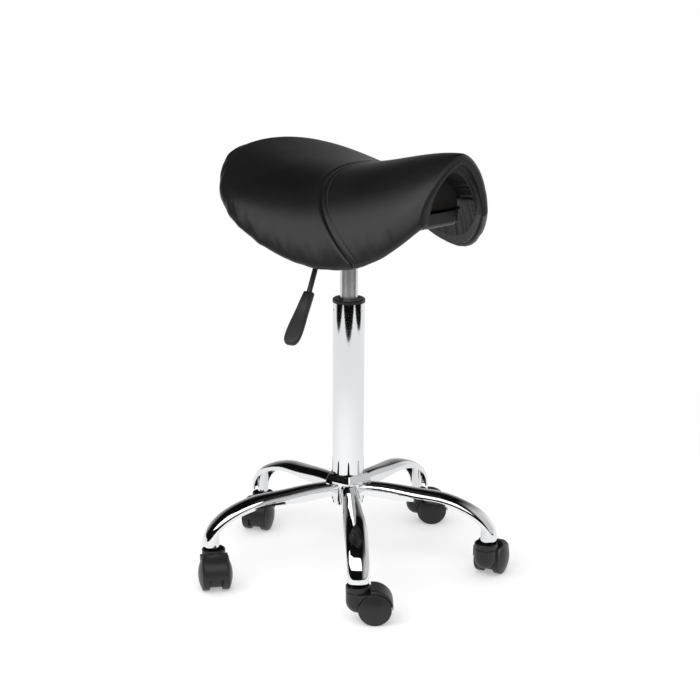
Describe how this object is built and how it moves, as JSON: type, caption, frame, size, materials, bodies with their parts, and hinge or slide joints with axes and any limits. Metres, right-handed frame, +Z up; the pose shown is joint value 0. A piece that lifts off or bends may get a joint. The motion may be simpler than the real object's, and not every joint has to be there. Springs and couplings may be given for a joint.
{
  "type": "saddle stool",
  "caption": "Saddle stool with a moulded padded saddle seat, gas-lift column with height lever, star base of pressed chromed arms and twin-wheel swivel casters.",
  "frame": {"origin": "on the floor under the column's axis", "axes": "+Z up; the rider faces -Y, towards the narrow pommel, and their right hand is at -X"},
  "size_m": [0.5216, 0.4727, 0.6868],
  "materials": {
    "chrome": "mirror-polished chrome plate",
    "steel": "plain bright steel",
    "black_steel": "satin black powder coat",
    "black_plastic": "fine-textured black nylon",
    "wheel_nylon": "smooth black nylon",
    "rubber": "matt black rubber",
    "shell_plastic": "moulded black polypropylene",
    "plywood": "black-stained birch plywood",
    "foam": "open-cell cushion foam",
    "leatherette": "soft black leatherette with a fine grain",
    "aluminium": "turned"
  },
  "bodies": {
    "base": {"hub_tube": "chrome", "hub_cap": "chrome", "base_arm_1": "chrome", "base_arm_2": "chrome", "base_arm_3": "chrome", "base_arm_4": "chrome", "base_arm_5": "chrome", "caster_sockets": "chrome", "caster_stems": "steel", "caster_grip_rings": "steel", "caster_collars": "black_plastic", "column_tube": "chrome", "column_bush": "black_plastic", "bearing_race_lower": "steel"},
    "lift_rod": {"piston_rod": "steel", "piston": "aluminium", "bearing_race_upper": "steel", "bearing_balls": "steel", "bumper": "rubber", "rod_washer": "steel", "rod_clip": "steel"},
    "seat": {"gas_cylinder": "chrome", "rod_guide": "aluminium", "pressure_tube": "steel", "valve_block": "aluminium", "taper_socket": "black_steel", "seat_plate": "black_steel", "lever_bracket": "black_steel", "seat_bolts": "steel", "tee_nuts": "steel", "mounting_board": "plywood", "seat_shell": "shell_plastic", "seat_foam": "foam", "cover_front_panel": "leatherette", "cover_rear_panel": "leatherette"},
    "lever": {"lever_rod": "black_steel", "lever_grip": "black_plastic"},
    "button": {"release_button": "steel"},
    "caster_1": {"caster_housing_1": "black_plastic", "caster_axle_1": "steel"},
    "wheel_left_1": {"caster_wheel_left_1": "wheel_nylon"},
    "wheel_right_1": {"caster_wheel_right_1": "wheel_nylon"},
    "caster_2": {"caster_housing_2": "black_plastic", "caster_axle_2": "steel"},
    "wheel_left_2": {"caster_wheel_left_2": "wheel_nylon"},
    "wheel_right_2": {"caster_wheel_right_2": "wheel_nylon"},
    "caster_3": {"caster_housing_3": "black_plastic", "caster_axle_3": "steel"},
    "wheel_left_3": {"caster_wheel_left_3": "wheel_nylon"},
    "wheel_right_3": {"caster_wheel_right_3": "wheel_nylon"},
    "caster_4": {"caster_housing_4": "black_plastic", "caster_axle_4": "steel"},
    "wheel_left_4": {"caster_wheel_left_4": "wheel_nylon"},
    "wheel_right_4": {"caster_wheel_right_4": "wheel_nylon"},
    "caster_5": {"caster_housing_5": "black_plastic", "caster_axle_5": "steel"},
    "wheel_left_5": {"caster_wheel_left_5": "wheel_nylon"},
    "wheel_right_5": {"caster_wheel_right_5": "wheel_nylon"}
  },
  "joints": [
    {"name": "seat_swivel", "type": "hinge", "parent": "base", "child": "lift_rod", "pos_m": [0, 0, 0.115], "axis": [0, 0, 1], "continuous": true},
    {"name": "seat_height", "type": "slide", "parent": "lift_rod", "child": "seat", "axis": [0, 0, 1], "range_m": [0, 0.2]},
    {"name": "lever_lift", "type": "hinge", "parent": "seat", "child": "lever", "pos_m": [-0.03994, -0.01298, 0.588], "axis": [-0.309, 0.9511, 0], "range_deg": [0, 5], "stiffness_Nm_per_rad": 4, "springref_deg": -11.46},
    {"name": "release_button", "type": "slide", "parent": "seat", "child": "button", "axis": [0, 0, -1], "range_m": [0, 0.005], "stiffness_N_per_m": 500, "springref_m": -0.004},
    {"name": "caster_1_swivel", "type": "hinge", "parent": "base", "child": "caster_1", "pos_m": [-0.14613, -0.17109, 0.049], "axis": [0, 0, 1], "continuous": true},
    {"name": "wheel_left_1_roll", "type": "hinge", "parent": "caster_1", "child": "wheel_left_1", "pos_m": [-0.12829, -0.18861, 0.025], "axis": [0.7009, 0.7133, 0], "continuous": true},
    {"name": "wheel_right_1_roll", "type": "hinge", "parent": "caster_1", "child": "wheel_right_1", "pos_m": [-0.12829, -0.18861, 0.025], "axis": [0.7009, 0.7133, 0], "continuous": true},
    {"name": "caster_2_swivel", "type": "hinge", "parent": "base", "child": "caster_2", "pos_m": [0.11756, -0.19184, 0.049], "axis": [0, 0, 1], "continuous": true},
    {"name": "wheel_left_2_roll", "type": "hinge", "parent": "caster_2", "child": "wheel_left_2", "pos_m": [0.14127, -0.18391, 0.025], "axis": [-0.3173, 0.9483, 0], "continuous": true},
    {"name": "wheel_right_2_roll", "type": "hinge", "parent": "caster_2", "child": "wheel_right_2", "pos_m": [0.14127, -0.18391, 0.025], "axis": [-0.3173, 0.9483, 0], "continuous": true},
    {"name": "caster_3_swivel", "type": "hinge", "parent": "base", "child": "caster_3", "pos_m": [0.21878, 0.05253, 0.049], "axis": [0, 0, 1], "continuous": true},
    {"name": "wheel_left_3_roll", "type": "hinge", "parent": "caster_3", "child": "wheel_left_3", "pos_m": [0.23661, 0.035, 0.025], "axis": [0.7009, 0.7133, 0], "continuous": true},
    {"name": "wheel_right_3_roll", "type": "hinge", "parent": "caster_3", "child": "wheel_right_3", "pos_m": [0.23661, 0.035, 0.025], "axis": [0.7009, 0.7133, 0], "continuous": true},
    {"name": "caster_4_swivel", "type": "hinge", "parent": "base", "child": "caster_4", "pos_m": [0.01765, 0.22431, 0.049], "axis": [0, 0, 1], "continuous": true},
    {"name": "wheel_left_4_roll", "type": "hinge", "parent": "caster_4", "child": "wheel_left_4", "pos_m": [-0.00442, 0.21257, 0.025], "axis": [0.4695, -0.8829, 0], "continuous": true},
    {"name": "wheel_right_4_roll", "type": "hinge", "parent": "caster_4", "child": "wheel_right_4", "pos_m": [-0.00442, 0.21257, 0.025], "axis": [0.4695, -0.8829, 0], "continuous": true},
    {"name": "caster_5_swivel", "type": "hinge", "parent": "base", "child": "caster_5", "pos_m": [-0.20787, 0.0861, 0.049], "axis": [0, 0, 1], "continuous": true},
    {"name": "wheel_left_5_roll", "type": "hinge", "parent": "caster_5", "child": "wheel_left_5", "pos_m": [-0.22203, 0.0655, 0.025], "axis": [0.8241, -0.5664, 0], "continuous": true},
    {"name": "wheel_right_5_roll", "type": "hinge", "parent": "caster_5", "child": "wheel_right_5", "pos_m": [-0.22203, 0.0655, 0.025], "axis": [0.8241, -0.5664, 0], "continuous": true}
  ],
  "couplings": [
    {"joint": "release_button", "follows": "lever_lift", "m_per_rad": 0.046}
  ]
}
